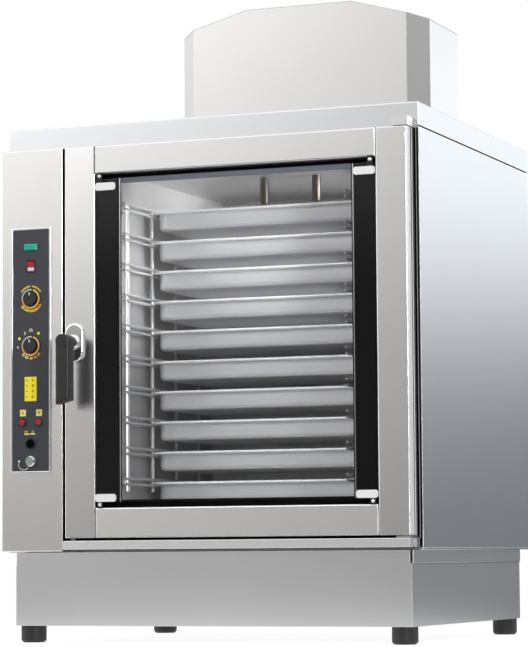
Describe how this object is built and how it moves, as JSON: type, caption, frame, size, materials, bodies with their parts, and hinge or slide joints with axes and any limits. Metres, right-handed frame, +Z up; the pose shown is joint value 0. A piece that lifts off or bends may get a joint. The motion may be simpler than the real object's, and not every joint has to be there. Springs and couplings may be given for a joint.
{
  "type": "combi oven",
  "caption": "Free-standing combi oven with a glazed side-hinged door, lever handle, knob control strip, trays on wire racks, rear fan, plinth on round feet and a faceted hood.",
  "frame": {"origin": "on the floor, under the middle of the oven's bounding box", "axes": "+X to the right as seen from the front, +Y from the door towards the back, +Z up"},
  "size_m": [0.98, 0.932, 1.495],
  "materials": {
    "casing_steel": "fine satin brushed stainless sheet",
    "base_steel": "satin stainless sheet, mid grey",
    "hood_steel": "pale satin stainless sheet",
    "frame_steel": "satin stainless, warm grey",
    "door_steel": "satin brushed stainless bar",
    "strip_steel": "satin brushed stainless, warm light grey",
    "cavity_steel": "plain stainless liner",
    "tray_steel": "drawn stainless tray",
    "wire_steel": "polished wire",
    "tube_steel": "heat-tinted stainless tube",
    "motor_metal": "dark paint",
    "clip_metal": "pale satin metal",
    "hinge_metal": "satin machined steel",
    "bright_chrome": "polished chrome",
    "door_glass": "clear toughened glass with dark printed side bands",
    "gasket_rubber": "black heat-resistant seal",
    "dark_plastic": "black moulded plastic",
    "foot_plastic": "black moulded plastic",
    "fascia_plastic": "satin black fascia",
    "green_lens": "clear green lens",
    "red_plastic": "gloss red moulding"
  },
  "bodies": {
    "cabinet": {"base_plinth": "base_steel", "foot_front_left": "foot_plastic", "foot_front_right": "foot_plastic", "foot_rear_left": "foot_plastic", "foot_rear_right": "foot_plastic", "cabinet_floor": "casing_steel", "side_panel_left": "casing_steel", "side_panel_right": "casing_steel", "rear_panel": "casing_steel", "top_cap": "casing_steel", "hood_shell": "hood_steel", "hood_roof": "hood_steel", "front_frame": "frame_steel", "cavity_liner": "cavity_steel", "door_gasket": "gasket_rubber", "fan_motor": "motor_metal", "fan_baffle": "cavity_steel", "ceiling_tubes": "tube_steel", "rack_left": "wire_steel", "rack_right": "wire_steel", "hinge_bracket_top": "hinge_metal", "hinge_bracket_bottom": "hinge_metal", "drip_tray": "casing_steel", "latch_keeper": "hinge_metal", "control_strip": "strip_steel", "fascia_panel": "fascia_plastic", "fascia_frame": "bright_chrome", "pilot_lamp": "green_lens", "rocker_bezel": "dark_plastic", "button_bezels": "dark_plastic"},
    "door": {"door_stile_left": "door_steel", "door_stile_right": "door_steel", "door_rail_top": "door_steel", "door_rail_bottom": "door_steel", "door_glass_outer": "door_glass", "door_glass_inner": "door_glass", "glass_clips": "clip_metal", "handle_escutcheon": "bright_chrome"},
    "handle": {"handle_lever": "dark_plastic", "handle_cover_disc": "dark_plastic", "latch_pawl": "hinge_metal"},
    "rocker_body": {"rocker": "red_plastic"},
    "knob_upper_body": {"knob_upper": "dark_plastic"},
    "knob_lower_body": {"knob_lower": "dark_plastic"},
    "red_button_left_body": {"red_button_left": "red_plastic"},
    "red_button_right_body": {"red_button_right": "red_plastic"},
    "black_button_body": {"black_button": "dark_plastic"},
    "probe_cap_body": {"probe_cap": "bright_chrome"},
    "fan": {"fan_impeller": "cavity_steel"},
    "tray_01_body": {"tray_01": "tray_steel"},
    "tray_02_body": {"tray_02": "tray_steel"},
    "tray_03_body": {"tray_03": "tray_steel"},
    "tray_04_body": {"tray_04": "tray_steel"},
    "tray_05_body": {"tray_05": "tray_steel"},
    "tray_06_body": {"tray_06": "tray_steel"},
    "tray_07_body": {"tray_07": "tray_steel"},
    "tray_08_body": {"tray_08": "tray_steel"},
    "tray_09_body": {"tray_09": "tray_steel"},
    "tray_10_body": {"tray_10": "tray_steel"}
  },
  "joints": [
    {"name": "door_hinge", "type": "hinge", "parent": "cabinet", "child": "door", "pos_m": [0.463, -0.373, 0.66], "axis": [0, 0, 1], "range_deg": [0, 120]},
    {"name": "handle_turn", "type": "hinge", "parent": "door", "child": "handle", "pos_m": [-0.3, -0.435, 0.66], "axis": [0, -1, 0], "range_deg": [0, 90]},
    {"name": "rocker_tip", "type": "hinge", "parent": "cabinet", "child": "rocker_body", "pos_m": [-0.4077, -0.395, 0.835], "axis": [-1, 0, 0], "range_deg": [0, 14]},
    {"name": "knob_upper_turn", "type": "hinge", "parent": "cabinet", "child": "knob_upper_body", "pos_m": [-0.4077, -0.398, 0.762], "axis": [0, 1, 0], "range_deg": [0, 270]},
    {"name": "knob_lower_turn", "type": "hinge", "parent": "cabinet", "child": "knob_lower_body", "pos_m": [-0.4077, -0.398, 0.6565], "axis": [0, 1, 0], "range_deg": [0, 270]},
    {"name": "red_button_left_press", "type": "slide", "parent": "cabinet", "child": "red_button_left_body", "axis": [0, 1, 0], "range_m": [0, 0.003], "stiffness_N_per_m": 300},
    {"name": "red_button_right_press", "type": "slide", "parent": "cabinet", "child": "red_button_right_body", "axis": [0, 1, 0], "range_m": [0, 0.003], "stiffness_N_per_m": 300},
    {"name": "black_button_press", "type": "slide", "parent": "cabinet", "child": "black_button_body", "axis": [0, 1, 0], "range_m": [0, 0.003], "stiffness_N_per_m": 300},
    {"name": "probe_cap_turn", "type": "hinge", "parent": "cabinet", "child": "probe_cap_body", "pos_m": [-0.4077, -0.398, 0.4], "axis": [0, -1, 0], "range_deg": [0, 360]},
    {"name": "fan_spin", "type": "hinge", "parent": "cabinet", "child": "fan", "pos_m": [0.053, 0.295, 0.664], "axis": [0, -1, 0], "continuous": true},
    {"name": "tray_01_slide", "type": "slide", "parent": "cabinet", "child": "tray_01_body", "axis": [0, -1, 0], "range_m": [0, 0.14]},
    {"name": "tray_02_slide", "type": "slide", "parent": "cabinet", "child": "tray_02_body", "axis": [0, -1, 0], "range_m": [0, 0.14]},
    {"name": "tray_03_slide", "type": "slide", "parent": "cabinet", "child": "tray_03_body", "axis": [0, -1, 0], "range_m": [0, 0.14]},
    {"name": "tray_04_slide", "type": "slide", "parent": "cabinet", "child": "tray_04_body", "axis": [0, -1, 0], "range_m": [0, 0.14]},
    {"name": "tray_05_slide", "type": "slide", "parent": "cabinet", "child": "tray_05_body", "axis": [0, -1, 0], "range_m": [0, 0.14]},
    {"name": "tray_06_slide", "type": "slide", "parent": "cabinet", "child": "tray_06_body", "axis": [0, -1, 0], "range_m": [0, 0.14]},
    {"name": "tray_07_slide", "type": "slide", "parent": "cabinet", "child": "tray_07_body", "axis": [0, -1, 0], "range_m": [0, 0.14]},
    {"name": "tray_08_slide", "type": "slide", "parent": "cabinet", "child": "tray_08_body", "axis": [0, -1, 0], "range_m": [0, 0.14]},
    {"name": "tray_09_slide", "type": "slide", "parent": "cabinet", "child": "tray_09_body", "axis": [0, -1, 0], "range_m": [0, 0.14]},
    {"name": "tray_10_slide", "type": "slide", "parent": "cabinet", "child": "tray_10_body", "axis": [0, -1, 0], "range_m": [0, 0.14]}
  ]
}
